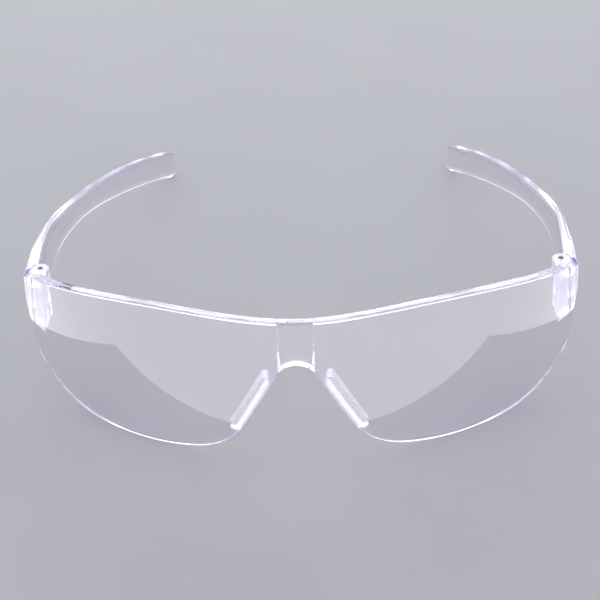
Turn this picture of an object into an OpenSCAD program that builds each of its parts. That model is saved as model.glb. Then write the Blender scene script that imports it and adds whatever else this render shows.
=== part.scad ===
// Clear frameless wraparound safety glasses: a one-piece moulded lens, two folding temples, two hinge pins.
// X runs across the face, Y from the lens towards the ears, Z up. The glasses stand on z = 0, unfolded.
// Left and right are the wearer's, so the left temple is on the +X side.

/* [Lens] */
// Width of the front across its two hinge ends
front_width = 146.4; // [140:0.2:152]
// Radius of the ball-shaped front face of the lens
lens_radius = 88; // [84:1:96]
// Wall of the lens in front of each eye
lens_wall = 1.8; // [1.5:0.1:2.3]
// How far the brow rim and the bridge panel stand behind that wall
border_step = 0.3; // [0.2:0.1:0.6]

/* [Brow line] */
// Height of the brow line above the middle of the lens
brow_height = 21.4; // [20:0.2:24]
// Distance of each brow's highest point from the middle of the face
brow_x = 28; // [24:1:34]
// Radius at which the brow line falls towards the hinge
brow_radius = 112; // [100:2:130]
// Depth of the shallow dip in the brow line above the nose
bridge_dip = 1; // [0.4:0.1:2]
// Height of the thicker rim along the brow line
rim_height = 1.4; // [1:0.1:2]

/* [Lower edge] */
// Depth of the two lobes below the middle of the lens
lobe_depth = 22; // [20:0.5:25]
// Length of the flat foot that each lobe stands on
foot_length = 6; // [4:0.5:8]
// Radius of the lobe's outer corner, at the cheek
cheek_radius = 19; // [16:0.5:21]
// How far the cheek corner lies inside the hinge end
cheek_inset = 1.2; // [0.8:0.1:2]
// Height above the middle of the lens where the end reaches its full width
knee_height = 5; // [2:0.5:8]
// Radius of the lobe's long under-eye curve
lobe_radius = 90; // [75:1:110]
// Radius of the curl that runs from that curve onto the side of the nose notch
curl_radius = 19.5; // [16:0.5:23]

/* [Nose] */
// Height of the nose arch above the middle of the lens
notch_top = 9.1; // [7:0.1:11]
// Radius of the nose arch
notch_radius = 5.5; // [4.5:0.1:6.5]
// Angle of each notch side from upright
notch_flare = 29.5; // [26:0.5:32]
// Half the width of the thick bridge panel
panel_half = 4.3; // [3.8:0.1:4.6]
// Thickness of the bridge panel where it ends at the nose arch
bridge_wall = 3.4; // [2.8:0.1:4]
// How far that thickening and the gate mark lie inside the edges of the panel
bridge_ledge = 0.2; // [0.1:0.1:0.4]
// Radius of the half-round gate mark behind the top of the bridge
gate_radius = 2.7; // [2:0.1:3.2]
// Depth of that mark
gate_depth = 0.1; // [0.1:0.05:0.25]
// Length of each moulded nose pad
pad_length = 18; // [16:0.5:18.5]
// Wall of each nose pad
pad_wall = 2; // [1.6:0.1:2.2]
// How far each nose pad stands behind the front face
pad_depth = 7; // [5.5:0.5:9]
// Angle by which the nose pads open towards the face
pad_flare = 3; // [2:1:8]
// How far each nose pad starts inside the edge of the notch
pad_inset = 0.1; // [0.1:0.1:0.4]
// Distance of the pad's top end below the start of the notch side
pad_start = 3.4; // [3:0.1:4.2]

/* [Hinges] */
// Distance of the hinge axis inside the outer face of the temple
axis_inset = 4.6; // [4.2:0.1:5]
// Distance of the hinge axis behind the front face at the hinge end
axis_behind = 1.7; // [1.4:0.1:2.2]
// Height of the middle of the hinge above the middle of the lens
hinge_middle = 6.3; // [5.5:0.1:6.6]
// Height of the whole hinge
hinge_height = 14.4; // [13:0.2:15]
// Height of each of the two outer knuckles, moulded on the lens
leaf_height = 4; // [3:0.1:4.5]
// Outer radius of the knuckles
knuckle_radius = 2.3; // [2.1:0.1:2.5]
// Diameter of the hinge pin
pin_diameter = 1.5; // [1.2:0.1:1.8]
// Chamfer at each end of the pin
pin_chamfer = 0.2; // [0.1:0.1:0.4]
// Width of the thick block behind each end of the lens
block_width = 6.6; // [6:0.1:8]
// Distance of the stop face in front of the hinge axis
stop_ahead = 0.4; // [0.3:0.1:0.6]
// Running clearance round the pin in the temple's knuckle
running_fit = 0.05; // [0.03:0.01:0.09]
// Clearance round the pin where it is held in the lens
held_fit = 0.01; // [0.01:0.01:0.03]
// Gap between moulded hinge faces
hinge_gap = 0.2; // [0.15:0.05:0.3]

/* [Temples] */
// Length of each temple along its outer face
temple_length = 122; // [110:1:126]
// Thickness of the temple at the hinge
temple_root = 4.2; // [4:0.1:4.5]
// Thickness of the temple past its taper
temple_wall = 2.6; // [2.2:0.1:3]
// Height of the temple at its waist
waist_height = 8; // [7:0.5:9]
// Distance of the waist behind the hinge
waist_at = 62; // [55:1:70]
// Height of the paddle behind the ear
paddle_height = 9.5; // [8.5:0.5:11]
// Distance of the paddle's widest point from the tip
paddle_back = 22; // [18:1:28]
// Length of the straight stretch behind the hinge
straight_run = 27; // [22:1:34]
// Radius of the inward bow in plan
bow_radius = 120; // [100:5:150]
// Angle through which that bow turns
bow_turn = 22; // [16:1:24]
// Length of the level root of the temple
root_run = 10; // [6:1:14]
// Slope of the temple behind that root
drop_angle = 9; // [7:0.5:10]
// Distance behind the hinge where the ear bend starts
bend_at = 66; // [58:1:74]
// Distance behind the hinge where the temple has thinned to its wall
thin_at = 45; // [36:1:55]

/* [Hidden] */
ball_steps = 180;
round_steps = 48;
arc_steps = 10;
brow_steps = 24;
clear_plastic = [0.80, 0.82, 0.92, 0.35];
overlap = 0.5;
beyond = lens_radius;

// Walls and places worked out from the sizes above
rim_wall = lens_wall + border_step;
end_x = front_width / 2;
cheek_x = end_x - cheek_inset - cheek_radius;
foot_inner = cheek_x - foot_length;
block_x = end_x - block_width;
field_end = block_x - rim_height;
axis_x = end_x - axis_inset;
notch_middle = notch_top - notch_radius;
side_x = notch_radius * cos(notch_flare);
side_z = notch_middle + notch_radius * sin(notch_flare);

// Lower edge: the curl touches the notch side at run_down below its start, inside the under-eye curve
lobe_middle = lobe_radius - lobe_depth;
off_x = side_x + curl_radius * cos(notch_flare) - foot_inner;
off_z = side_z + curl_radius * sin(notch_flare) - lobe_middle;
half_sum = off_x * sin(notch_flare) - off_z * cos(notch_flare);
inner_reach = lobe_radius - curl_radius;
run_down = sqrt(half_sum * half_sum - off_x * off_x - off_z * off_z + inner_reach * inner_reach) - half_sum;
curl_x = foot_inner + off_x + run_down * sin(notch_flare);
curl_z = lobe_middle + off_z - run_down * cos(notch_flare);
lobe_turn = atan2(foot_inner - curl_x, lobe_middle - curl_z);

function brow_dip(x) = bridge_dip * (1 + cos(180 * x / brow_x)) / 2;
function brow_fall(x) = brow_radius - sqrt(pow(brow_radius, 2) - pow(x - brow_x, 2));
function brow_z(x) = brow_height - (x < brow_x ? brow_dip(x) : brow_fall(x));
panel_top = brow_z(0) - rim_height;
function steps(from, to, count) = [for (i = [0 : count]) from + (to - from) * i / count];
function arc(middle_x, middle_z, radius, from, to) =
    [for (a = steps(from, to, arc_steps)) [middle_x + radius * cos(a), middle_z + radius * sin(a)]];

// Front outline of the +X half as seen from the front, from the top of the nose arch round to the brow line
half_outline = concat(
    arc(0, notch_middle, notch_radius, 90, notch_flare),
    arc(curl_x, curl_z, curl_radius, 180 + notch_flare, 270 - lobe_turn),
    [for (a = steps(270 - lobe_turn, 270, arc_steps / 2))
        [foot_inner + lobe_radius * cos(a), lobe_middle + lobe_radius * sin(a)]],
    arc(cheek_x, cheek_radius - lobe_depth, cheek_radius, -90, 0),
    [[end_x, knee_height]],
    [for (x = steps(end_x, 0, brow_steps)) [x, brow_z(x)]]
);
left_half = [for (i = [len(half_outline) - 2 : -1 : 1]) [-half_outline[i].x, half_outline[i].y]];

// The ball's depth at a place on the front outline, and at the notch edge, where the lens is foremost
function sag(x, z) = lens_radius - sqrt(pow(lens_radius, 2) - x * x - z * z);
front_y = sag(0, notch_radius + notch_middle * sin(notch_flare));
axis_depth = sag(end_x, hinge_middle) + axis_behind;
stop_y = axis_depth - stop_ahead;

// Hinge levels
hinge_bottom = hinge_middle - hinge_height / 2;
middle_room = hinge_height - 2 * leaf_height;
temple_knuckle = middle_room - 2 * hinge_gap;

// Temple: plan place, drop and section at a distance along its outer face
temple_front = stop_y + hinge_gap;
tip_round = paddle_height / 2;
rest_at = temple_length - tip_round;
bow_length = bow_radius * bow_turn * PI / 180;
function bow_angle(s) = min(bow_turn, max(0, s - straight_run) / bow_radius * 180 / PI);
function past_bow(s) = max(0, s - straight_run - bow_length);
function plan_x(s) = end_x - bow_radius * (1 - cos(bow_angle(s))) - past_bow(s) * sin(bow_turn);
function plan_y(s) = temple_front + min(s, straight_run) + bow_radius * sin(bow_angle(s))
    + past_bow(s) * cos(bow_turn);
function blend(t) = (1 - cos(180 * min(1, max(0, t)))) / 2;
paddle_at = temple_length - paddle_back;
function full_height(s) = s < waist_at
    ? hinge_height + (waist_height - hinge_height) * blend((s - root_run) / (waist_at - root_run))
    : waist_height + (paddle_height - waist_height) * blend((s - waist_at) / (paddle_at - waist_at));
function tip_share(s) = sqrt(max(0, 1 - pow(max(0, s - temple_length + tip_round) / tip_round, 2)));
function section_height(s) = full_height(s) * tip_share(s);
function section_wall(s) = (temple_root + (temple_wall - temple_root) * blend(s / thin_at))
    * (0.4 + 0.6 * tip_share(s));
// The ear bend is as deep as it can be with the paddle just touching the ground that the lens stands on
tip_angles = [18, 36, 54, 70, 82];
temple_stations = concat(steps(0, rest_at, 20), [for (a = tip_angles) rest_at + tip_round * sin(a)]);
function bend_share(s) = pow(max(0, s - bend_at) / (rest_at - bend_at), 2);
function slope_fall(s) = max(0, s - root_run) * tan(drop_angle);
function room_below(s) = lobe_depth + hinge_middle - slope_fall(s) - section_height(s) / 2;
bend_drop = min([for (s = temple_stations) if (s > bend_at) room_below(s) / bend_share(s)]);
function middle_z(s) = hinge_middle - slope_fall(s) - bend_drop * bend_share(s);

// Rings of the temple, each a rounded upright section whose outer side lies on the plan curve
ring_points = 20;
squareness = 0.55;
function bulge(v) = sign(v) * pow(abs(v), squareness);
function ring(s) = [for (i = [0 : ring_points - 1])
    let (a = 360 * i / ring_points,
         inward = section_wall(s) / 2 * (1 - bulge(cos(a))),
         rise = section_height(s) / 2 * bulge(sin(a)))
    [plan_x(s) - inward * cos(bow_angle(s)), plan_y(s) - inward * sin(bow_angle(s)), middle_z(s) + rise]];
temple_points = [for (s = temple_stations) each ring(s)];
last_ring = len(temple_stations) - 1;
tip_y = plan_y(temple_stations[last_ring]);
temple_faces = concat(
    [[for (i = [ring_points - 1 : -1 : 0]) i]],
    [for (r = [0 : last_ring - 1], i = [0 : ring_points - 1])
        let (a = r * ring_points + i, b = r * ring_points + (i + 1) % ring_points)
        each [[a, b, a + ring_points], [b, b + ring_points, a + ring_points]]],
    [[for (i = [0 : ring_points - 1]) last_ring * ring_points + i]]
);

// Stands the glasses on the ground, with the middle of their depth at the origin
module place() {
    translate([0, -(front_y + tip_y) / 2, lobe_depth]) children();
}

module both_sides() {
    children();
    mirror([1, 0, 0]) children();
}

// Ball concentric with the front face of the lens
module ball(radius) {
    translate([0, lens_radius, 0]) sphere(r = radius, $fn = ball_steps);
}

// Extrudes a front view, drawn in X and Z, from one depth back to another
module from_front(depth_from, depth_to) {
    translate([0, depth_to, 0])
        rotate([90, 0, 0])
            linear_extrude(height = depth_to - depth_from) children();
}

module front_outline() {
    polygon(concat(half_outline, left_half));
}

// Thin optical field of the lens on the +X side, bounded by the rim, the bridge panel and the hinge block
module eye_field() {
    polygon(concat(
        [[panel_half, -lobe_depth - overlap], [field_end, -lobe_depth - overlap]],
        [for (x = steps(field_end, panel_half, brow_steps)) [x, brow_z(x) - rim_height]]
    ));
}

module gate_mark() {
    gate_z = panel_top - bridge_ledge;
    intersection() {
        translate([0, gate_z]) circle(r = gate_radius, $fn = round_steps);
        translate([-beyond, gate_z - beyond]) square([2 * beyond, beyond]);
    }
}

// Nose pad on the +X side: a round-ended wall that starts inside the lens and opens towards the face
module nose_pad() {
    intersection() {
        ball(lens_radius - rim_wall / 2);
        translate([side_x, sag(side_x, side_z), side_z])
            rotate([0, -notch_flare, 0])
                rotate([0, 0, -pad_flare])
                    translate([pad_inset + pad_wall / 2, 0, -pad_start - pad_wall / 2])
                        from_front(-overlap, pad_depth) {
                            circle(d = pad_wall, $fn = round_steps);
                            translate([-pad_wall / 2, pad_wall - pad_length])
                                square([pad_wall, pad_length - pad_wall]);
                            translate([0, pad_wall - pad_length]) circle(d = pad_wall, $fn = round_steps);
                        }
    }
}

// Thickening of the bridge panel, a wedge that grows from the rim down to the nose arch
module bridge_wedge() {
    top_y = sag(0, panel_top) + lens_wall;
    arch_y = sag(0, notch_top) + bridge_wall;
    foot_y = top_y + (arch_y - top_y) * panel_top / (panel_top - notch_top);
    half_width = panel_half - bridge_ledge;
    translate([-half_width, 0, 0])
        rotate([90, 0, 90])
            linear_extrude(height = 2 * half_width)
                polygon([[-overlap, 0], [foot_y, 0], [top_y, panel_top], [-overlap, panel_top]]);
}

module on_axis(from, height, radius) {
    translate([axis_x, axis_depth, from]) cylinder(r = radius, h = height, $fn = round_steps);
}

// Block and two knuckles behind the +X end of the lens, without their bore
module hinge_end() {
    intersection() {
        ball(lens_radius - rim_wall / 2);
        translate([block_x, 0, hinge_bottom]) cube([block_width, stop_y, hinge_height]);
    }
    on_axis(hinge_bottom, leaf_height, knuckle_radius);
    on_axis(hinge_bottom + hinge_height - leaf_height, leaf_height, knuckle_radius);
}

// The moulded lens: a ball-shaped shield, thinned in front of the eyes, with nose pads and hinge ends
module lens() {
    color(clear_plastic)
    place()
    difference() {
        union() {
            difference() {
                shield();
                translate([-beyond * 2, stop_y, -beyond]) cube([beyond * 4, beyond, beyond * 2]);
            }
            both_sides() hinge_end();
        }
        both_sides() {
            on_axis(hinge_bottom + leaf_height, middle_room, knuckle_radius + hinge_gap);
            on_axis(hinge_bottom - overlap, hinge_height + 2 * overlap, pin_diameter / 2 + held_fit);
        }
    }
}

module shield() {
    difference() {
        intersection() {
            ball(lens_radius);
            from_front(-overlap, beyond) front_outline();
        }
        difference() {
            ball(lens_radius - rim_wall);
            bridge_wedge();
        }
        both_sides() intersection() {
            ball(lens_radius - lens_wall);
            from_front(-overlap, beyond) eye_field();
        }
        difference() {
            intersection() {
                ball(lens_radius - rim_wall + gate_depth);
                from_front(-overlap, beyond) gate_mark();
            }
            translate([0, -gate_depth, 0]) bridge_wedge();
        }
    }
    both_sides() nose_pad();
}

// Temple on the +X side: a bowed, tapering bar with one knuckle between the two of the lens
module temple() {
    difference() {
        union() {
            difference() {
                polyhedron(points = temple_points, faces = temple_faces, convexity = 6);
                knuckle_relief(hinge_bottom - overlap, leaf_height + overlap + hinge_gap);
                knuckle_relief(hinge_bottom + hinge_height - leaf_height - hinge_gap,
                    leaf_height + overlap + hinge_gap);
            }
            on_axis(hinge_bottom + leaf_height + hinge_gap, temple_knuckle, knuckle_radius);
        }
        on_axis(hinge_bottom, hinge_height, pin_diameter / 2 + running_fit);
    }
}

module knuckle_relief(from, height) {
    on_axis(from, height, knuckle_radius + hinge_gap);
}

module temple_left() {
    color(clear_plastic) place() temple();
}

module temple_right() {
    color(clear_plastic) place() mirror([1, 0, 0]) temple();
}

// Pin with chamfered ends, flush with the outer knuckles
module hinge_pin() {
    pin_radius = pin_diameter / 2;
    translate([axis_x, axis_depth, hinge_bottom])
        rotate_extrude($fn = round_steps)
            polygon([
                [0, 0], [pin_radius - pin_chamfer, 0], [pin_radius, pin_chamfer],
                [pin_radius, hinge_height - pin_chamfer], [pin_radius - pin_chamfer, hinge_height],
                [0, hinge_height]
            ]);
}

module hinge_pin_left() {
    color("silver") place() hinge_pin();
}

module hinge_pin_right() {
    color("silver") place() mirror([1, 0, 0]) hinge_pin();
}

lens();
temple_left();
temple_right();
hinge_pin_left();
hinge_pin_right();
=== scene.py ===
# %% [markdown]
# # Clear wraparound safety glasses
# The real glasses are five pieces: one clear lens for both eyes with its rim, nose pads and hinge
# ends moulded on, two clear temples, and two steel pins. The CAD frame brings their places and
# joints. This lesson gives each piece its moulded, rounded shape, because clear plastic shows
# itself almost only by its edges.

# %% Load the frame
from math import acos, atan2, ceil, cos, degrees, hypot, pi, radians, sin, sqrt, tan
import bmesh
import bpy
from mathutils import Matrix, Vector


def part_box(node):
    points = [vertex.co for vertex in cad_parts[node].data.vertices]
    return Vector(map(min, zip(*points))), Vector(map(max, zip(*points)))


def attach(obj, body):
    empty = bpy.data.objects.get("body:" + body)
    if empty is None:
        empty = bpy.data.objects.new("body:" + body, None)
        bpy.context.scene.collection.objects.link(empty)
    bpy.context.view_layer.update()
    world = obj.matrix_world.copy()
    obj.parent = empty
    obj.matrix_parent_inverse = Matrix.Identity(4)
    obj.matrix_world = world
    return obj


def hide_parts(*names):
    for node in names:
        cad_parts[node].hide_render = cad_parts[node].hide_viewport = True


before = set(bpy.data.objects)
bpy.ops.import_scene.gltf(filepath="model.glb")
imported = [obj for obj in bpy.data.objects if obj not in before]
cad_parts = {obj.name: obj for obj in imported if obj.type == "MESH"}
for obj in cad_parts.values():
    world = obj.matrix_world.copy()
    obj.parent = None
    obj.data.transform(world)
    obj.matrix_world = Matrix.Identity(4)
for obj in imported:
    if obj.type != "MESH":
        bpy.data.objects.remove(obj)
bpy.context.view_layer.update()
scene = bpy.context.scene
MM = 0.001
print("CAD nodes:", sorted(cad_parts))

# %% [markdown]
# The camera stands where the photographer stood: a little above the lens, almost straight in front
# of it, and leaning by a few degrees. A camera's matrix is three directions and a place, so it is
# filled in directly. All lengths in this lesson are written in millimetres, and MM turns them to
# Blender's metres. They are counted from the apex, the foremost point of the ball that the lens is
# part of. It lies in the open nose notch, so it is a little ahead of the lens itself.

# %% Camera
lens_radius, lobe_depth, apex_ahead = 88.0, 22.0, 0.301
apex = Vector((0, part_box("lens")[0][1] / MM - apex_ahead, lobe_depth))
azimuth, elevation, roll = radians(2.67), radians(33), radians(-2.57)
view_distance, aim_across, aim_up = 420.0, 0.66, 24.01
pixel_size, picture_width, sensor_width = 0.2472, 600, 36
back = Vector((sin(azimuth) * cos(elevation), -cos(azimuth) * cos(elevation), sin(elevation)))
level = Vector((cos(azimuth), sin(azimuth), 0))
rise = back.cross(level)
across = level * cos(roll) + rise * sin(roll)
upward = rise * cos(roll) - level * sin(roll)
stand = (apex + back * view_distance + across * aim_across + upward * aim_up) * MM

camera_data = bpy.data.cameras.new("camera")
camera_data.sensor_fit = "HORIZONTAL"
camera_data.sensor_width = sensor_width
camera_data.lens = sensor_width / (pixel_size * picture_width / view_distance)
camera = bpy.data.objects.new("camera", camera_data)
scene.collection.objects.link(camera)
camera.matrix_world = Matrix((
    (across.x, upward.x, back.x, stand.x),
    (across.y, upward.y, back.y, stand.y),
    (across.z, upward.z, back.z, stand.z),
    (0, 0, 0, 1)))
scene.camera = camera
print("camera at", tuple(round(v, 4) for v in stand), "focal length", round(camera_data.lens, 1))

# %% [markdown]
# One small function adds a node with its settings and links. Node trees for materials and for
# geometry are both built with it: a number fills a socket, and another node's output is linked to
# it. A second function turns an sRGB hex colour into the linear values that shaders take. A third
# one starts a material with an empty tree and the coordinates that every pattern here reads.

# %% Helpers for node trees
def put(tree, kind, inputs=None, **settings):
    made = tree.nodes.new(kind)
    for name, value in settings.items():
        setattr(made, name, value)
    for key, value in (inputs or {}).items():
        if isinstance(value, bpy.types.NodeSocket):
            tree.links.new(value, made.inputs[key])
        else:
            made.inputs[key].default_value = value
    return made


def colour(hex_value):
    parts = [int(hex_value[i:i + 2], 16) / 255 for i in (1, 3, 5)]
    linear = [p / 12.92 if p <= 0.04045 else ((p + 0.055) / 1.055) ** 2.4 for p in parts]
    return (*linear, 1.0)


def new_material(name):
    material = bpy.data.materials.new(name)
    material.use_nodes = True
    tree = material.node_tree
    tree.nodes.clear()
    return material, tree, put(tree, "ShaderNodeTexCoord").outputs["Object"]


print("white in linear values:", colour("#FFFFFF"))

# %% [markdown]
# The lens and temples are injection-moulded polycarbonate. The faces that one looks through have
# the gloss of a polished mould, with a little handling haze. The small faces of the hinge are left
# as the spark erosion of the mould makes them, and the nose pads are matt on purpose, so that they
# don't slip on skin. This fine frosting turns the thick ends and the pads milky. Painting it on by
# hand would need an image, so two masks find it by its place: behind the front wall, and then
# either near the hinge axis in width, depth and height, or beside the nose.

# %% Gloss and frost of the plastic
haze_size = 9
hinge_frost, hinge_skin, hinge_back = 0.35, 1.0, 44.0
hinge_at, hinge_half_width = 69.5, 3.2
hinge_level, hinge_half_height = 28.3, 7.5
pad_frost, pad_skin, pad_at, pad_half_width = 0.4, 2.0, 12.5, 7.3

clear_plastic, tree, place = new_material("clear_polycarbonate_moulded")
haze = put(tree, "ShaderNodeTexNoise", {
    "Vector": place, "Scale": 1 / (haze_size * MM), "Detail": 3.0, "Roughness": 0.6})
haze_gloss = put(tree, "ShaderNodeMapRange", {
    "Value": haze.outputs["Fac"], "From Min": 0.35, "From Max": 0.75,
    "To Min": 0.015, "To Max": 0.05})
axes = put(tree, "ShaderNodeSeparateXYZ", {0: place})
ball_middle = (apex + Vector((0, lens_radius, 0))) * MM
reach = put(tree, "ShaderNodeVectorMath", {0: place, 1: ball_middle}, operation="DISTANCE")
from_middle = put(tree, "ShaderNodeMath", {0: axes.outputs["X"]}, operation="ABSOLUTE")
hinge_faces = (
    (reach.outputs["Value"], {1: (lens_radius - hinge_skin) * MM}, "LESS_THAN"),
    (axes.outputs["Y"], {1: (apex.y + hinge_back) * MM}, "LESS_THAN"),
    (from_middle.outputs[0], {1: hinge_at * MM, 2: hinge_half_width * MM}, "COMPARE"),
    (axes.outputs["Z"], {1: hinge_level * MM, 2: hinge_half_height * MM}, "COMPARE"))
pad_faces = (
    (reach.outputs["Value"], {1: (lens_radius - pad_skin) * MM}, "LESS_THAN"),
    (from_middle.outputs[0], {1: pad_at * MM, 2: pad_half_width * MM}, "COMPARE"))
gloss = haze_gloss.outputs["Result"]
for frost, tests in ((hinge_frost, hinge_faces), (pad_frost, pad_faces)):
    mask = 1.0
    for value, limits, test in tests:
        inside = put(tree, "ShaderNodeMath", {0: value, **limits}, operation=test)
        both = put(tree, "ShaderNodeMath", {0: inside.outputs[0], 1: mask}, operation="MULTIPLY")
        mask = both.outputs[0]
    added = put(tree, "ShaderNodeMath", {0: mask, 1: frost, 2: gloss}, operation="MULTIPLY_ADD")
    gloss = added.outputs[0]
print("hinge frost round x =", hinge_at, "mm, pad frost round x =", pad_at, "mm")

# %% [markdown]
# The plastic is clear, with a faint lilac cast that shows where one looks along it, at edges and
# thick ends. It bends light more than window glass (IOR 1.585), and its faces are a little wavy
# from the flow in the mould. The tint is an even absorption inside the solid, so a thin wall stays
# clear and a long path through the plastic turns lilac, as in the real thing. A coloured surface
# would tint both alike. Lamps have to pass through clear plastic, so rays that test for shadow
# meet a nearly clear surface.

# %% Clear polycarbonate
flow_size, flow_height = 14, 0.05

flow = put(tree, "ShaderNodeTexNoise", {
    "Vector": place, "Scale": 1 / (flow_size * MM), "Detail": 1.0})
flow_bump = put(tree, "ShaderNodeBump", {
    "Height": flow.outputs["Fac"], "Strength": 0.03, "Distance": flow_height * MM})
plastic = put(tree, "ShaderNodeBsdfPrincipled", {
    "Base Color": colour("#FBFAFF"), "Roughness": gloss, "IOR": 1.585,
    "Transmission Weight": 1.0, "Normal": flow_bump.outputs["Normal"]})
shadow_ray = put(tree, "ShaderNodeLightPath").outputs["Is Shadow Ray"]
pass_light = put(tree, "ShaderNodeBsdfTransparent", {"Color": colour("#EFEDF6")})
surface = put(tree, "ShaderNodeMixShader", {
    0: shadow_ray, 1: plastic.outputs[0], 2: pass_light.outputs[0]})
tint = put(tree, "ShaderNodeVolumeAbsorption", {"Color": colour("#D9D4F4"), "Density": 20.0})
put(tree, "ShaderNodeOutputMaterial", {"Surface": surface.outputs[0], "Volume": tint.outputs[0]})
print("made", clear_plastic.name)

# %% [markdown]
# The pins are cut from drawn steel wire. Drawing leaves fine streaks along the wire, so a noise
# that is stretched along the pin changes the roughness and the colour a little. Real streaks are a
# few hundredths of a millimetre wide. They are drawn at a tenth so that they can show at all. The
# ends are cut off by shearing, which leaves them dull. The faces that look up or down, the pin
# ends, are also coloured a dark grey, so each pin shows as a grey dot on its hinge.

# %% Drawn steel
streak_width, streak_stretch = 0.1, 0.04
end_facing, sheared_roughness = 0.6, 0.25

drawn_steel, tree, place = new_material("drawn_steel_wire")
along_wire = put(tree, "ShaderNodeMapping", {"Vector": place, "Scale": (1.0, 1.0, streak_stretch)})
streaks = put(tree, "ShaderNodeTexNoise", {
    "Vector": along_wire.outputs[0], "Scale": 1 / (streak_width * MM), "Detail": 2.0})
streak_gloss = put(tree, "ShaderNodeMapRange", {
    "Value": streaks.outputs["Fac"], "To Min": 0.18, "To Max": 0.42})
streak_tone = put(tree, "ShaderNodeMix", {
    0: streaks.outputs["Fac"], 6: colour("#77767A"), 7: colour("#A3A2A5")}, data_type="RGBA")
normal = put(tree, "ShaderNodeNewGeometry").outputs["True Normal"]
facing = put(tree, "ShaderNodeSeparateXYZ", {0: normal})
upright = put(tree, "ShaderNodeMath", {0: facing.outputs["Z"]}, operation="ABSOLUTE")
pin_ends = put(tree, "ShaderNodeMath", {0: upright.outputs[0], 1: end_facing},
              operation="GREATER_THAN")
# The pin ends, the faces that look up or down, are coloured a dark grey.
wire_tone = put(tree, "ShaderNodeMix", {
    0: pin_ends.outputs[0], 6: streak_tone.outputs[2], 7: colour("#4E4D50")}, data_type="RGBA")
wire_gloss = put(tree, "ShaderNodeMath", {
    0: pin_ends.outputs[0], 1: sheared_roughness, 2: streak_gloss.outputs["Result"]},
    operation="MULTIPLY_ADD")
steel = put(tree, "ShaderNodeBsdfPrincipled", {
    "Base Color": wire_tone.outputs[2], "Metallic": 1.0, "Roughness": wire_gloss.outputs[0]})
put(tree, "ShaderNodeOutputMaterial", {"Surface": steel.outputs[0]})
print("made", drawn_steel.name)

# %% [markdown]
# The outline of the lens is a drawing of arcs, as on the mould maker's sheet: the nose arch, its
# two straight sides, a curl onto the under-eye curve, a short flat foot, the cheek corner, and the
# brow line on top. Here it is sampled along its lower edge, and every lower point gets a partner
# on the brow line. The lines between partners become the columns of a clean grid of four-sided
# faces, which keeps reflections smooth. A few narrow columns carry the step at each side of the
# bridge panel.

# %% Lens outline, lower edge
end_x, brow_height, brow_x, brow_radius, bridge_dip = 73.2, 21.398, 28.0, 112.0, 1.0
notch_radius, notch_middle, notch_flare = 5.5, 3.6, 29.5
curl_x, curl_z, curl_radius, lobe_turn = 31.1546, -0.6962, 19.5, 12.9886
foot_inner, cheek_x, cheek_radius, knee_height, lobe_radius = 47.0, 53.0, 19.0, 5.0, 90.0
panel_half, panel_step = 4.3, 0.45
arch_spacing, panel_margin, half_steps = 0.3, 4, 3


def on_arc(middle_x, middle_z, radius, turn):
    return (middle_x + radius * cos(radians(turn)), middle_z + radius * sin(radians(turn)))


def arc(middle_x, middle_z, radius, start, stop, spacing=0.75):
    count = ceil(abs(radians(stop - start)) * radius / spacing)
    turns = [start + (stop - start) * i / count for i in range(count + 1)]
    return [on_arc(middle_x, middle_z, radius, turn) for turn in turns]


def straight(start, stop, spacing=0.75):
    count = ceil(hypot(stop[0] - start[0], stop[1] - start[1]) / spacing)
    shares = [i / count for i in range(count + 1)]
    return [tuple(a + (b - a) * share for a, b in zip(start, stop)) for share in shares]


step_shares = [i / (2 * half_steps) for i in range(-half_steps, half_steps + 1)]
panel_turns = [degrees(acos((panel_half + panel_step * f) / notch_radius)) for f in step_shares]
arch = arc(0, notch_middle, notch_radius, 90, panel_turns[0] + panel_margin, arch_spacing)
arch += [on_arc(0, notch_middle, notch_radius, turn) for turn in panel_turns + [notch_flare]]
curl = arc(curl_x, curl_z, curl_radius, 180 + notch_flare, 270 - lobe_turn)
lobe = arc(foot_inner, lobe_radius - lobe_depth, lobe_radius, 270 - lobe_turn, 270)
cheek = arc(cheek_x, cheek_radius - lobe_depth, cheek_radius, -90, 0)
stretches = [arch, straight(arch[-1], curl[0]), curl, lobe, straight(lobe[-1], cheek[0]), cheek,
             straight(cheek[-1], (end_x, knee_height))]
half_lower = stretches[0] + [p for s in stretches[1:] for p in s[1:]]
print("points along half the lower edge:", len(half_lower))

# %% [markdown]
# The partners on the brow line stand straight above the lower points, except near the hinge end,
# where the lower edge turns upright and the partners spread over what is left of the brow line.

# %% Lens outline, brow line
spread_from, spread_bias = 58.0, 0.6


def brow_z(x):
    x = abs(x)
    if x < brow_x:
        return brow_height - bridge_dip * (1 + cos(pi * x / brow_x)) / 2
    return brow_height - brow_radius + sqrt(brow_radius ** 2 - (x - brow_x) ** 2)


lengths = [0.0]
for a, b in zip(half_lower, half_lower[1:]):
    lengths.append(lengths[-1] + hypot(b[0] - a[0], b[1] - a[1]))
turn_at, turn_x = next((s, p[0]) for s, p in zip(lengths, half_lower) if p[0] >= spread_from)
half_brow = []
for s, (x, z) in zip(lengths, half_lower):
    if s > turn_at:
        share = (s - turn_at) / (lengths[-1] - turn_at)
        x = turn_x + (end_x - turn_x) * ((1 + spread_bias) * share - spread_bias * share ** 2)
    half_brow.append((x, brow_z(x)))

lower = [(-x, z) for x, z in half_lower[:0:-1]] + half_lower
brow = [(-x, z) for x, z in half_brow[:0:-1]] + half_brow
columns = len(lower)
print("columns across the lens:", columns)

# %% [markdown]
# Moulded edges are never sharp. The outline is followed by rings that round the edge in front, run
# back along the wall and round it again behind. Each ring lies a little inside the outline, so
# every outline point needs the direction that points into the plastic. Between two edges it is
# their mitre. Rows close together below the brow carry the steep ramp where the rim ends.

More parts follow.
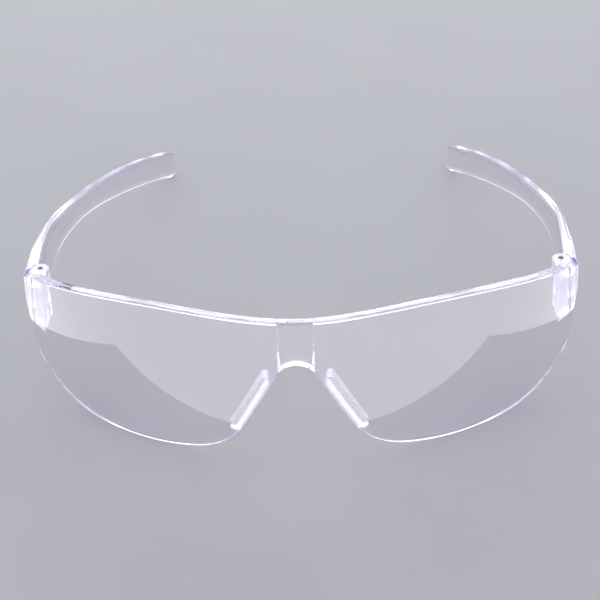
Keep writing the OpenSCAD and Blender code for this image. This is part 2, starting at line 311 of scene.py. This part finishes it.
# %% Edge rings
edge_round, plain_rows = 0.24, 44
rim_height, step_width, ramp_margin = 1.4, 0.17, 0.06
rim_ramp, first_row, last_row = step_width / 2, 0.85, 2.3
rows_below_brow = [
    first_row, rim_height - rim_ramp - ramp_margin, rim_height - rim_ramp, rim_height,
    rim_height + rim_ramp, rim_height + rim_ramp + ramp_margin, last_row]


def inward(before, here, after):
    first = Vector((before[1] - here[1], here[0] - before[0])).normalized()
    second = Vector((here[1] - after[1], after[0] - here[0])).normalized()
    return (first + second) / (1 + first.dot(second))


def column_rows(foot, head):
    """Points of one column from foot to head: even rows, then the rows that carry the ramp."""
    length = (head - foot).length
    near_head = [1 - (t - edge_round) / length for t in rows_below_brow][::-1]
    shares = [near_head[0] * i / plain_rows for i in range(plain_rows)] + near_head + [1.0]
    return [foot.lerp(head, f) for f in shares]


right_knee, right_corner = Vector(lower[-1]), Vector(brow[-1])
foot_in = right_knee + edge_round * inward(lower[-2], right_knee, right_corner)
head_in = right_corner + edge_round * inward(right_knee, right_corner, brow[-2])
end_rows = [(end_x, p.y) for p in column_rows(foot_in, head_in)[1:-1]]
row_count = len(end_rows) + 2
outline = lower + end_rows + brow[::-1] + [(-x, z) for x, z in end_rows[::-1]]
around = len(outline)
normals = [inward(outline[i - 1], outline[i], outline[(i + 1) % around]) for i in range(around)]
print("rows:", row_count, "points round the outline:", around)

# %% [markdown]
# Behind, the wall is 1.8 mm in front of the eyes and 2.1 mm at the brow rim. The bridge panel grows
# from the rim's wall to 3.4 mm at the nose arch. The rim ends in a steep little ramp of 60 degrees.
# From the front it mirrors the light above the glasses as one thin white line. The sides of the
# panel are softer steps. The half-round dish at the top of the panel is the mark of the gate, where
# the molten plastic entered the mould. It is only 0.1 mm deep.

# %% Wall thickness
lens_wall, border_step, bridge_wall = 1.8, 0.3, 3.4
bridge_top = brow_z(0) - rim_height
gate_radius, gate_depth, gate_slope, gate_drop = 2.7, 0.1, 0.6, 0.2
gate_z = bridge_top - gate_drop
arch_top = notch_middle + notch_radius


def clamp(t):
    return min(1.0, max(0.0, t))


def ease(t):
    t = clamp(t)
    return t * t * (3 - 2 * t)


def wall_at(x, z):
    x = abs(x)
    rim = clamp(0.5 - (brow_z(x) - z - rim_height) / step_width)
    panel = 1 - ease((x - panel_half) / panel_step + 0.5)
    down = clamp((bridge_top - z) / (bridge_top - arch_top))
    growth = border_step + (bridge_wall - lens_wall - border_step) * down
    inside_gate = min(gate_radius - hypot(x, z - gate_z), gate_z - z)
    dish = gate_depth * ease(inside_gate / gate_slope)
    return lens_wall + max(border_step * rim, growth * panel) - dish


print("wall at the eye and at the nose arch:", wall_at(30, 0), wall_at(0, arch_top))

# %% [markdown]
# Now the sheet is laid out flat: X and Z come from the drawing, and the depth behind the front face
# is kept in Y. First come the rings round its edge. Along the cheek the edge is bevelled behind, so
# that it doesn't press on skin. From the front this bevel mirrors the light behind the glasses,
# which makes the white line that the lower outline of the lens shows.

# %% Edge of the flat sheet
cheek_bevel, bevel_from, bevel_run, bevel_fade = 1.0, 42.0, 24.0, radians(30)
round_steps = 6


def cheek_lean(x, z):
    """How far the edge leans in behind: most along the cheek, nothing at nose, brow and hinge."""
    turn = atan2(max(0.0, abs(x) - cheek_x), cheek_radius - lobe_depth - z)
    grown = ease((abs(x) - bevel_from) / bevel_run)
    return cheek_bevel * grown * ease((pi / 2 - turn) / bevel_fade)


ring_shape = []
for i in range(round_steps + 1):
    a = i * pi / 2 / round_steps
    ring_shape.append((edge_round * (1 - sin(a)), edge_round * (1 - cos(a)), False))
ring_shape += [(d, h, True) for d, h, _ in ring_shape[::-1]]

points, faces = [], []
for inset, depth, behind in ring_shape:
    for (x, z), n in zip(outline, normals):
        inwards = inset + cheek_lean(x, z) * behind
        px, pz = x + n.x * inwards, z + n.y * inwards
        points.append((px, wall_at(px, pz) - depth if behind else depth, pz))
for ring in range(len(ring_shape) - 1):
    for i in range(around):
        a, b = ring * around + i, ring * around + (i + 1) % around
        faces.append((a, b, b + around, a + around))
print("edge of the flat sheet:", len(points), "points,", len(faces), "faces")

# %% [markdown]
# One grid in front and one behind close the shell. The border of each grid is the first or the last
# of the rings, so no point is doubled. The faces behind run the other way round, so that they look
# out of the plastic too.

# %% Front and back of the flat sheet
for behind in (False, True):
    ring_start = (len(ring_shape) - 1) * around if behind else 0
    grid = [[0] * row_count for _ in range(columns)]
    for c in range(columns):
        grid[c][0] = ring_start + c
        grid[c][-1] = ring_start + columns + len(end_rows) + columns - 1 - c
    for r in range(1, row_count - 1):
        grid[-1][r] = ring_start + columns + r - 1
        grid[0][r] = ring_start + around - r
    for c in range(1, columns - 1):
        foot, head = points[grid[c][0]], points[grid[c][-1]]
        rows = column_rows(Vector((foot[0], foot[2])), Vector((head[0], head[2])))
        for r in range(1, row_count - 1):
            x, z = rows[r]
            grid[c][r] = len(points)
            points.append((x, wall_at(x, z) if behind else 0.0, z))
    for c in range(columns - 1):
        for r in range(row_count - 1):
            quad = (grid[c][r], grid[c + 1][r], grid[c + 1][r + 1], grid[c][r + 1])
            faces.append(quad[::-1] if behind else quad)
print("flat sheet:", len(points), "points,", len(faces), "faces")

# %% [markdown]
# Every finished mesh goes through these helpers. The first one merges points that nearly touch and
# turns the faces outwards. The second makes an object from points in millimetres. The third runs
# the modifiers once and keeps the plain mesh, so nothing is left live on the piece.

# %% Helpers for pieces
def turn_out(mesh, apart=0.0):
    work = bmesh.new()
    work.from_mesh(mesh)
    if apart:
        bmesh.ops.remove_doubles(work, verts=work.verts, dist=apart * MM)
    bmesh.ops.recalc_face_normals(work, faces=work.faces)
    work.to_mesh(mesh)
    work.free()


def new_piece(name, points, faces):
    mesh = bpy.data.meshes.new(name)
    mesh.from_pydata([Vector(p) * MM for p in points], [], faces)
    turn_out(mesh)
    piece = bpy.data.objects.new(name, mesh)
    scene.collection.objects.link(piece)
    return piece


def settle(piece):
    evaluated = piece.evaluated_get(bpy.context.evaluated_depsgraph_get())
    mesh = bpy.data.meshes.new_from_object(evaluated)
    piece.modifiers.clear()
    piece.data = mesh
    mesh.name = piece.name


lens = new_piece("lens_clear", points, faces)
print(lens.name, "faces:", len(lens.data.polygons))

# %% [markdown]
# The ball of the lens and the bow of the temples are rules, and a Geometry Nodes tree is a good
# place for a rule: its numbers are sockets, so they can be changed without touching the nodes. One
# helper starts a tree with its sockets, one ends it with the material, and one runs it on a piece
# and keeps the plain mesh.

# %% Helpers for geometry trees
def new_tree(name, inputs):
    tree = bpy.data.node_groups.new(name, "GeometryNodeTree")
    tree.interface.new_socket("Geometry", in_out="INPUT", socket_type="NodeSocketGeometry")
    tree.interface.new_socket("Geometry", in_out="OUTPUT", socket_type="NodeSocketGeometry")
    for label, kind in inputs.items():
        tree.interface.new_socket(label, in_out="INPUT", socket_type=kind)
    return tree, put(tree, "NodeGroupInput").outputs


def end_tree(tree, geometry, material):
    whole = put(tree, "GeometryNodeRealizeInstances", {0: geometry})
    coated = put(tree, "GeometryNodeSetMaterial", {
        "Geometry": whole.outputs[0], "Material": material})
    put(tree, "NodeGroupOutput", {0: coated.outputs[0]})


def run_tree(piece, tree, values):
    modifier = piece.modifiers.new(tree.name, "NODES")
    modifier.node_group = tree
    for item in tree.interface.items_tree:
        if item.in_out == "INPUT" and item.name in values:
            modifier[item.identifier] = values[item.name]
    settle(piece)


print("geometry trees so far:", len(bpy.data.node_groups))

# %% [markdown]
# The whole front follows one rule: both faces are parts of concentric balls. A tree applies it to
# the flat sheet, so the ball can be changed with one number. A point at depth h goes to
# y = R - sqrt((R - h)^2 - x^2 - z^2). Behind the hinge ends the sheet stops just before the flat
# face that the temples rest against. There its last rings fall together, so points that nearly
# touch are merged before anything is joined to it.

# %% Bend the sheet onto the ball
stop_y, stop_gap, ring_merge = 40.8638, 0.05, 0.012

tree, given = new_tree("bend_onto_ball", {
    "Ball radius": "NodeSocketFloat", "Apex depth": "NodeSocketFloat",
    "Middle height": "NodeSocketFloat", "Stop face": "NodeSocketFloat",
    "Plastic": "NodeSocketMaterial"})
here = put(tree, "GeometryNodeInputPosition").outputs[0]
spot = put(tree, "ShaderNodeSeparateXYZ", {0: here}).outputs
inner = put(tree, "ShaderNodeMath", {0: given["Ball radius"], 1: spot["Y"]}, operation="SUBTRACT")
left = put(tree, "ShaderNodeMath", {0: inner.outputs[0], 1: 2.0}, operation="POWER")
for axis in ("X", "Z"):
    square = put(tree, "ShaderNodeMath", {0: spot[axis], 1: 2.0}, operation="POWER")
    left = put(tree, "ShaderNodeMath", {0: left.outputs[0], 1: square.outputs[0]},
               operation="SUBTRACT")
root = put(tree, "ShaderNodeMath", {0: left.outputs[0]}, operation="SQRT")
bent = put(tree, "ShaderNodeMath", {0: given["Ball radius"], 1: root.outputs[0]},
           operation="SUBTRACT")
stopped = put(tree, "ShaderNodeMath", {0: bent.outputs[0], 1: given["Stop face"]},
              operation="MINIMUM")
placed_y = put(tree, "ShaderNodeMath", {0: stopped.outputs[0], 1: given["Apex depth"]},
               operation="ADD")
placed_z = put(tree, "ShaderNodeMath", {0: spot["Z"], 1: given["Middle height"]}, operation="ADD")
goal = put(tree, "ShaderNodeCombineXYZ", {
    0: spot["X"], 1: placed_y.outputs[0], 2: placed_z.outputs[0]})
moved = put(tree, "GeometryNodeSetPosition", {
    "Geometry": given["Geometry"], "Position": goal.outputs[0]})
end_tree(tree, moved.outputs[0], given["Plastic"])

run_tree(lens, tree, {
    "Ball radius": lens_radius * MM, "Apex depth": apex.y * MM, "Middle height": lobe_depth * MM,
    "Stop face": (stop_y - stop_gap) * MM, "Plastic": clear_plastic})
turn_out(lens.data, ring_merge)
lens_corners = (lens.bound_box[0], lens.bound_box[6])
print("lens box:", [tuple(round(v, 4) for v in corner) for corner in lens_corners])

# %% [markdown]
# Nose pads, hinge blocks and knuckles are moulded on, so they become one solid with the sheet by
# Boolean unions. A tool solid is made for each, with rounded edges of its own, and then used up.
# Both ends are alike, so each tool is made for the left end and mirrored for the right one.

# %% Helpers for joined solids
def ball_y(x, z, depth=0.0):
    return lens_radius - sqrt((lens_radius - depth) ** 2 - x * x - z * z)


def to_world(points):
    return [(x, y + apex.y, z + lobe_depth) for x, y, z in points]


def both_ends(name, points, faces):
    mirrored = [(-x, y, z) for x, y, z in points]
    return [new_piece(name + "_left", to_world(points), faces),
            new_piece(name + "_right", to_world(mirrored), faces)]


def combine(piece, tools, operation):
    for tool in tools:
        modifier = piece.modifiers.new(operation, "BOOLEAN")
        modifier.operation, modifier.solver, modifier.object = operation, "EXACT", tool
    settle(piece)
    for tool in tools:
        bpy.data.objects.remove(tool)


def loft(rings):
    """Points and faces of a closed body through rings with the same number of points."""
    size = len(rings[0])
    faces = [tuple(range(size))[::-1], tuple(range((len(rings) - 1) * size, len(rings) * size))]
    for r in range(len(rings) - 1):
        for i in range(size):
            a, b = r * size + i, r * size + (i + 1) % size
            faces.append((a, b, b + size, a + size))
    return [p for ring in rings for p in ring], faces


print("depth of the ball at the end of the brow:", round(ball_y(*brow[-1]), 2))

# %% [markdown]
# Each nose pad is a wall along the side of the notch, 2 mm thick with round ends. It leans
# outwards by three degrees, the draft that lets it leave the mould. Its section is a stadium, so
# one function gives the ring of the pad at any depth, and the body is lofted through such rings.

# %% Section of a nose pad
pad_wall, pad_length, pad_inset, pad_start = 2.0, 18.0, 0.03, 3.4
pad_flare, end_points, side_points = radians(3), 12, 24
side_x, side_z = on_arc(0, notch_middle, notch_radius, notch_flare)
side_way = Vector((sin(radians(notch_flare)), -cos(radians(notch_flare))))
side_out = Vector((cos(radians(notch_flare)), sin(radians(notch_flare))))
pad_top = pad_start + pad_wall / 2
pad_run = pad_length - pad_wall


def pad_ring(depth, inset, skirt=0.0):
    """Stadium round the pad's middle line, narrowed by inset, with a skirt on its outer side."""
    ends = [pi * i / end_points for i in range(end_points + 1)]
    turns = [(pad_top, a) for a in ends]
    turns += [(pad_top + pad_run * i / side_points, pi) for i in range(1, side_points)]
    turns += [(pad_top + pad_run, pi + a) for a in ends]
    turns += [(pad_top + pad_run * (side_points - i) / side_points, 2 * pi)
              for i in range(1, side_points)]
    ring = []
    for start, a in turns:
        radius = pad_wall / 2 - inset + skirt * ease(cos(a) + 1)
        out = pad_inset + pad_wall / 2 + radius * cos(a) + depth * tan(pad_flare)
        flat = Vector((side_x, side_z)) + side_way * (start - radius * sin(a)) + side_out * out
        ring.append((flat.x, depth, flat.y))
    return ring


print("points round the pad:", len(pad_ring(0, 0)))

# %% [markdown]
# The pad stands 7 mm behind the front face. It starts inside the lens, follows the ball there with
# a soft fillet, and ends in a well-rounded rim, because it rests on skin.

# %% Nose pads
pad_depth, pad_round, pad_fillet = 7.0, 0.8, 1.1
pad_sunk, sunk_depth, fillet_depth = 0.8, 2, 3
fillet_steps, rim_steps = 6, 8


def on_back(ring, rise):
    return [(x, ball_y(x, z, lens_wall) + rise, z) for x, _, z in ring]


pad_tip = ball_y(side_x, side_z) + pad_depth
pad_rings = [on_back(pad_ring(sunk_depth, 0, pad_fillet), -pad_sunk)]
for i in range(fillet_steps + 1):
    a = i * pi / (2 * fillet_steps)
    skirt_ring = pad_ring(fillet_depth, 0, pad_fillet * (1 - sin(a)))
    pad_rings.append(on_back(skirt_ring, pad_fillet * (1 - cos(a))))
pad_rings.append(pad_ring(pad_tip - pad_round, 0))
for i in range(1, rim_steps + 1):
    a = i * pi / (2 * rim_steps)
    pad_rings.append(pad_ring(pad_tip - pad_round * (1 - sin(a)), pad_round * (1 - cos(a))))
combine(lens, both_ends("nose_pad", *loft(pad_rings)), "UNION")
print("lens with nose pads:", len(lens.data.polygons), "faces")

# %% [markdown]
# The hinge end is a thick block behind the lens, with a knuckle above and one below. The block
# fills the space between the lens and the flat stop face. A Bevel modifier rounds its edges before
# it is joined.

# %% Hinge blocks
block_x, block_end, block_sunk = end_x - 6.6, 71.6, 1.0
block_columns, block_rows = 8, 10
block_round, round_segments, round_over = 0.35, 3, radians(40)
hinge_middle, hinge_height, leaf_height = 6.3, 14.4, 4.0
hinge_bottom = hinge_middle - hinge_height / 2
hinge_top = hinge_middle + hinge_height / 2
heights = [hinge_bottom + hinge_height * j / block_rows for j in range(block_rows + 1)]
block_rings = []
for i in range(block_columns + 1):
    x = block_x + (block_end - block_x) * i / block_columns
    front = [(x, ball_y(x, z, block_sunk), z) for z in heights]
    block_rings.append(front + [(x, stop_y, hinge_top), (x, stop_y, hinge_bottom)])
blocks = both_ends("hinge_block", *loft(block_rings))
for block in blocks:
    bevel = block.modifiers.new("round_edges", "BEVEL")
    bevel.width, bevel.segments = block_round * MM, round_segments
    bevel.limit_method, bevel.angle_limit = "ANGLE", round_over
    settle(block)
combine(lens, blocks, "UNION")
print("lens with hinge blocks:", len(lens.data.polygons), "faces")

# %% [markdown]
# Knuckles, their clearance and the pin's bore are all turned shapes round one axis. A turned body
# is a profile of radius and height that is swept round the axis. Small chamfers break the edges of
# the knuckles. A cutter reaches beyond what it cuts.

# %% Knuckles and bores of the lens
axis_x, axis_depth, knuckle_radius, hinge_gap = end_x - 4.6, 41.2638, 2.3, 0.2
pin_radius, held_fit, bore_beyond, edge_chamfer = 0.75, 0.01, 2, 0.2


def turned(profile, steps=56):
    turns = [2 * pi * i / steps for i in range(steps)]
    return loft([[(axis_x + r * cos(a), axis_depth + r * sin(a), z) for a in turns]
                 for r, z in profile])


def plain_bar(radius, low, high, chamfer=0.0):
    if not chamfer:
        return turned([(radius, low), (radius, high)])
    return turned([(radius - chamfer, low), (radius, low + chamfer),
                   (radius, high - chamfer), (radius - chamfer, high)])


for low, high in ((hinge_bottom, hinge_bottom + leaf_height),
                  (hinge_top - leaf_height, hinge_top)):
    knuckle = plain_bar(knuckle_radius, low, high, edge_chamfer)
    combine(lens, both_ends("knuckle", *knuckle), "UNION")
between = plain_bar(knuckle_radius + hinge_gap, hinge_bottom + leaf_height, hinge_top - leaf_height)
combine(lens, both_ends("clearance", *between), "DIFFERENCE")
bore = plain_bar(pin_radius + held_fit, hinge_bottom - bore_beyond, hinge_top + bore_beyond)
combine(lens, both_ends("bore", *bore), "DIFFERENCE")
print("lens with knuckles:", len(lens.data.polygons), "faces")

# %% [markdown]
# A temple is a bar that follows a path. Seen from the side it is as high as the hinge at its root,
# narrows to a waist, and widens again to a paddle that rests behind the ear. Half waves of a cosine
# join these heights, so that no kink shows in a reflection.

# %% Temple height
temple_length, root_run = 121.95, 10.0
waist_height, waist_at, paddle_height, paddle_back = 8.0, 62.0, 9.5, 22.0
paddle_at = temple_length - paddle_back


def wave(t):
    return (1 - cos(pi * clamp(t))) / 2


def temple_height(s):
    if s < waist_at:
        narrowed = wave((s - root_run) / (waist_at - root_run))
        return hinge_height + (waist_height - hinge_height) * narrowed
    widened = wave((s - waist_at) / (paddle_at - waist_at))
    return waist_height + (paddle_height - waist_height) * widened


print("temple heights:", [round(temple_height(s), 2) for s in (0, waist_at, temple_length)])

# %% [markdown]
# The path runs straight behind the hinge, bows inwards round the head and drops to the ear. The
# wall tapers on the way, the root has rounded edges, and the tip is a half circle that gets
# thinner. The path is laid out as stations that know their middle, inward direction, wall and
# height. They stand closer together at the root and the tip, where the section changes fast.

# %% Temple path
temple_root, temple_wall, thin_at = 4.2, 2.6, 45.0
straight_run, bow_radius, bow_turn = 27.0, 120.0, radians(22)
drop_slope, bend_at, bend_drop = tan(radians(9)), 66.0, 6.18
root_round, tip_thin, root_steps, run_steps = 0.35, 0.4, 4, 80
tip_turns = (8, 16, 24, 32, 40, 48, 56, 64, 71, 77, 82, 86)
temple_front = stop_y + hinge_gap
tip_round = paddle_height / 2
rest_at = temple_length - tip_round


def temple_station(s):
    """Middle of the section at a distance s, its inward direction, wall and height."""
    turn = min(bow_turn, max(0.0, s - straight_run) / bow_radius)
    past = max(0.0, s - straight_run - bow_radius * bow_turn)
    x = end_x - bow_radius * (1 - cos(turn)) - past * sin(bow_turn)
    y = temple_front + min(s, straight_run) + bow_radius * sin(turn) + past * cos(bow_turn)
    ear = max(0.0, s - bend_at) / (rest_at - bend_at)
    z = hinge_middle - max(0.0, s - root_run) * drop_slope - bend_drop * ear ** 2
    tip = sqrt(max(0.0, 1 - (max(0.0, s - rest_at) / tip_round) ** 2))
    thinned = temple_root + (temple_wall - temple_root) * wave(s / thin_at)
    wall = thinned * (tip_thin + (1 - tip_thin) * tip)
    root = root_round * (1 - sqrt(max(0.0, 1 - max(0.0, 1 - s / root_round) ** 2)))
    inwards = Vector((-cos(turn), -sin(turn), 0))
    middle = Vector((x, y, z)) + inwards * wall / 2
    return middle, inwards, wall - 2 * root, temple_height(s) * tip - 2 * root


along = [root_round * i / root_steps for i in range(root_steps)]
along += [root_round + (rest_at - root_round) * i / run_steps for i in range(run_steps + 1)]
along += [rest_at + tip_round * sin(radians(a)) for a in tip_turns]
stations = [temple_station(s) for s in along]
print("temple stations:", len(stations))

# %% [markdown]
# The section is an upright rounded rectangle, so the tree sweeps a circle along the path and then
# squares each ring up. It keeps the middle of each station and the place on the circle as
# attributes. After the sweep it puts each point at
# middle + inward * wall/2 * square(x) + up * height/2 * square(y), where x and y are the place on
# the circle and square() pushes the circle towards a rectangle.

# %% Tree for the temple
tree, given = new_tree("sweep_temple", {
    "Ring points": "NodeSocketInt", "Squareness": "NodeSocketFloat",
    "Plastic": "NodeSocketMaterial"})
here = put(tree, "GeometryNodeInputPosition").outputs[0]
kept_path = put(tree, "GeometryNodeStoreNamedAttribute", {
    "Geometry": given["Geometry"], "Name": "middle", "Value": here}, data_type="FLOAT_VECTOR")
path = put(tree, "GeometryNodeMeshToCurve", {"Mesh": kept_path.outputs[0]})
circle = put(tree, "GeometryNodeCurvePrimitiveCircle", {
    "Resolution": given["Ring points"], "Radius": 1.0})
kept_circle = put(tree, "GeometryNodeStoreNamedAttribute", {
    "Geometry": circle.outputs[0], "Name": "round", "Value": here}, data_type="FLOAT_VECTOR")
swept = put(tree, "GeometryNodeCurveToMesh", {
    "Curve": path.outputs[0], "Profile Curve": kept_circle.outputs[0], "Fill Caps": True})
read = {}
for name, kind in (("middle", "FLOAT_VECTOR"), ("inward", "FLOAT_VECTOR"),
                   ("round", "FLOAT_VECTOR"), ("wall", "FLOAT"), ("height", "FLOAT")):
    kept = put(tree, "GeometryNodeInputNamedAttribute", {"Name": name}, data_type=kind)
    read[name] = kept.outputs[0]
on_circle = put(tree, "ShaderNodeSeparateXYZ", {0: read["round"]}).outputs
offsets = []
for axis, size in (("X", "wall"), ("Y", "height")):
    amount = put(tree, "ShaderNodeMath", {0: on_circle[axis]}, operation="ABSOLUTE")
    side = put(tree, "ShaderNodeMath", {0: on_circle[axis]}, operation="SIGN")
    squared = put(tree, "ShaderNodeMath", {0: amount.outputs[0], 1: given["Squareness"]},
                  operation="POWER")
    signed = put(tree, "ShaderNodeMath", {0: squared.outputs[0], 1: side.outputs[0]},
                 operation="MULTIPLY")
    half = put(tree, "ShaderNodeMath", {0: read[size], 1: 0.5}, operation="MULTIPLY")
    offset = put(tree, "ShaderNodeMath", {0: signed.outputs[0], 1: half.outputs[0]},
                 operation="MULTIPLY")
    offsets.append(offset.outputs[0])
sideways = put(tree, "ShaderNodeVectorMath", {0: read["inward"], "Scale": offsets[0]},
               operation="SCALE")
up = put(tree, "ShaderNodeCombineXYZ", {2: offsets[1]})
off = put(tree, "ShaderNodeVectorMath", {0: sideways.outputs[0], 1: up.outputs[0]}, operation="ADD")
goal = put(tree, "ShaderNodeVectorMath", {0: read["middle"], 1: off.outputs[0]}, operation="ADD")
moved = put(tree, "GeometryNodeSetPosition", {
    "Geometry": swept.outputs[0], "Position": goal.outputs[0]})
end_tree(tree, moved.outputs[0], given["Plastic"])
print("made", tree.name, "with", len(tree.nodes), "nodes")

# %% [markdown]
# The tree gets the stations as a chain of edges. Each point of the chain carries its inward
# direction, wall and height as attributes, under the names that the tree reads.

# %% Sweep the temple
middles, inwards, walls, station_heights = zip(*stations)
path_mesh = bpy.data.meshes.new("temple_path")
path_mesh.from_pydata([Vector(p) * MM for p in to_world(middles)],
                      [(i, i + 1) for i in range(len(stations) - 1)], [])
for name, kind, field, values in (
        ("inward", "FLOAT_VECTOR", "vector", [v for direction in inwards for v in direction]),
        ("wall", "FLOAT", "value", [w * MM for w in walls]),
        ("height", "FLOAT", "value", [h * MM for h in station_heights])):
    path_mesh.attributes.new(name, kind, "POINT").data.foreach_set(field, values)
temple_left = bpy.data.objects.new("temple_left_clear", path_mesh)
scene.collection.objects.link(temple_left)
run_tree(temple_left, tree, {"Ring points": 36, "Squareness": 0.55, "Plastic": clear_plastic})
print("swept temple:", len(temple_left.data.polygons), "faces")

# %% [markdown]
# The sweep may leave its faces turned in, so they are turned out before the cuts. The root is then
# cut clear of the lens's two knuckles, gets its own knuckle between them, and is bored for the pin.
# The right temple is the mirror image.

# %% Temple knuckles
sweep_merge, relief_beyond, running_fit = 0.002, 1, 0.05
own_low = hinge_bottom + leaf_height + hinge_gap
own_high = hinge_top - leaf_height - hinge_gap
relief_radius = knuckle_radius + hinge_gap

turn_out(temple_left.data, sweep_merge)
for name, radius, low, high, chamfer, operation in (
        ("relief", relief_radius, hinge_bottom - relief_beyond, own_low, 0.0, "DIFFERENCE"),
        ("relief", relief_radius, own_high, hinge_top + relief_beyond, 0.0, "DIFFERENCE"),
        ("own_knuckle", knuckle_radius, own_low, own_high, edge_chamfer, "UNION"),
        ("own_bore", pin_radius + running_fit, hinge_bottom - bore_beyond,
         hinge_top + bore_beyond, 0.0, "DIFFERENCE")):
    bar_points, bar_faces = plain_bar(radius, low, high, chamfer)
    combine(temple_left, [new_piece(name, to_world(bar_points), bar_faces)], operation)

temple_right = bpy.data.objects.new("temple_right_clear", temple_left.data.copy())
scene.collection.objects.link(temple_right)
temple_right.data.transform(Matrix.Scale(-1, 4, (1, 0, 0)))
turn_out(temple_right.data, sweep_merge)
print("each temple:", len(temple_left.data.polygons), "faces")

# %% [markdown]
# The pins are plain wire with chamfered ends, flush with the outer knuckles.

# %% Hinge pins
pin_bar = plain_bar(pin_radius, hinge_bottom, hinge_top, edge_chamfer)
pin_left, pin_right = both_ends("pin_steel", *pin_bar)
for pin in (pin_left, pin_right):
    pin.data.materials.append(drawn_steel)
print("pins:", pin_left.name, pin_right.name)

# %% [markdown]
# Soft faces and crisp edges: faces are shaded smooth, edges over 38 degrees stay sharp, and the
# normals lean towards the large faces, so that the small triangles beside a joint don't bend a
# reflection. A closed body has two faces at every edge, so any other edge is counted as open.

# %% Shading
sharp_over, face_weight = radians(38), 80


def shade(piece):
    piece.data.shade_smooth()
    piece.data.set_sharp_from_angle(angle=sharp_over)
    weighted = piece.modifiers.new("large_faces_first", "WEIGHTED_NORMAL")
    weighted.keep_sharp, weighted.weight = True, face_weight
    settle(piece)


def open_edges(mesh):
    uses = {}
    for polygon in mesh.polygons:
        for key in polygon.edge_keys:
            uses[key] = uses.get(key, 0) + 1
    return sum(1 for count in uses.values() if count != 2)


for piece in (lens, temple_left, temple_right, pin_left, pin_right):
    shade(piece)
    triangles = sum(len(p.vertices) - 2 for p in piece.data.polygons)
    print(piece.name, "triangles:", triangles, "open edges:", open_edges(piece.data))

# %% [markdown]
# Each piece stands for its CAD node, which is hidden, and moves with its body.

# %% Join the pieces to the frame
for piece, node, body, slot in (
        (lens, "lens", "front", "clear_polycarbonate"),
        (temple_left, "temple_left", "left_temple", "clear_polycarbonate"),
        (temple_right, "temple_right", "right_temple", "clear_polycarbonate"),
        (pin_left, "hinge_pin_left", "front", "pin_steel"),
        (pin_right, "hinge_pin_right", "front", "pin_steel")):
    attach(piece, body)
    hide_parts(node)
    print(piece.name, "rides on", body)

# %% [markdown]
# The glasses stand on a pale matt board, plain but for a slow mottle of 60 mm. It lies a hair
# below them, so that no two faces coincide.

# %% Floor
floor_half, floor_drop, mottle_size = 6000, 0.2, 60

floor_points = [(x * floor_half, y * floor_half, -floor_drop)
                for x, y in ((-1, -1), (1, -1), (1, 1), (-1, 1))]
floor = new_piece("floor", floor_points, [(0, 1, 2, 3)])
matt, tree, place = new_material("matt_pale_board")
mottle = put(tree, "ShaderNodeTexNoise", {
    "Vector": place, "Scale": 1 / (mottle_size * MM), "Detail": 4.0})
tone = put(tree, "ShaderNodeMix", {
    0: mottle.outputs["Fac"], 6: colour("#8D8E92"), 7: colour("#939498")}, data_type="RGBA")
board = put(tree, "ShaderNodeBsdfPrincipled", {
    "Base Color": tone.outputs[2], "Roughness": 0.9, "Specular IOR Level": 0.2})
put(tree, "ShaderNodeOutputMaterial", {"Surface": board.outputs[0]})
floor.data.materials.append(matt)
print("floor:", floor.name, "with", matt.name)

# %% [markdown]
# Clear plastic is lit by what stands round it. An even white dome keeps the picture plain. It is a
# little brighter at the horizon, which the steep edges mirror, than overhead.

# %% White dome
world = bpy.data.worlds.new("white_dome")
scene.world = world
world.use_nodes = True
tree = world.node_tree
tree.nodes.clear()
sky = put(tree, "ShaderNodeTexCoord").outputs["Generated"]
sky_height = put(tree, "ShaderNodeSeparateXYZ", {0: sky}).outputs["Z"]
dome = put(tree, "ShaderNodeMapRange", {"Value": sky_height, "To Min": 1.4, "To Max": 1.2})
room = put(tree, "ShaderNodeBackground", {
    "Color": colour("#F8F8FC"), "Strength": dome.outputs[0]})
put(tree, "ShaderNodeOutputWorld", {"Surface": room.outputs[0]})
print("made", world.name)

# %% [markdown]
# A wide soft lamp overhead brightens the brow, and a long soft box behind the glasses draws the
# bright lines along edges, arch and pads. Bright cards lie in front of the glasses and on both
# sides. The curved face mirrors them as a pale veil over its upper half. Only mirrored rays see
# the cards, so they never hide the floor behind the plastic. Light has to cross many clear walls,
# so the number of bounces is raised.

# %% Lamps and cards
card_brightness, card_height, card_aim = 1.9, 1, 100
all_bounces, clear_bounces = 40, 32


def soft_lamp(name, spot, aim, size, brightness):
    data = bpy.data.lights.new(name, "AREA")
    data.shape, data.size, data.size_y = "RECTANGLE", size[0] * MM, size[1] * MM
    data.energy = pi * brightness * data.size * data.size_y
    lamp = bpy.data.objects.new(name, data)
    scene.collection.objects.link(lamp)
    lamp.location = Vector(spot) * MM
    lamp.rotation_euler = (Vector(aim) - Vector(spot)).to_track_quat("-Z", "Y").to_euler()
    lamp.visible_camera = False
    return lamp


soft_lamp("overhead", (-80, 0, 800), (0, -20, 20), (400, 300), 3.0)
soft_lamp("back_box", (0, 620, 480), (0, -60, 30), (1300, 260), 4.5)
for name, x, y, size in (
        ("front_card", 0, -336, (1100, 500)),
        ("left_card", 325, -6, (450, 160)),
        ("right_card", -325, -6, (450, 160))):
    card = soft_lamp(name, (x, y, card_height), (x, y, card_aim), size, card_brightness)
    card.visible_transmission = False
scene.view_settings.view_transform = "Standard"
scene.cycles.max_bounces = all_bounces
scene.cycles.glossy_bounces = scene.cycles.transmission_bounces = clear_bounces
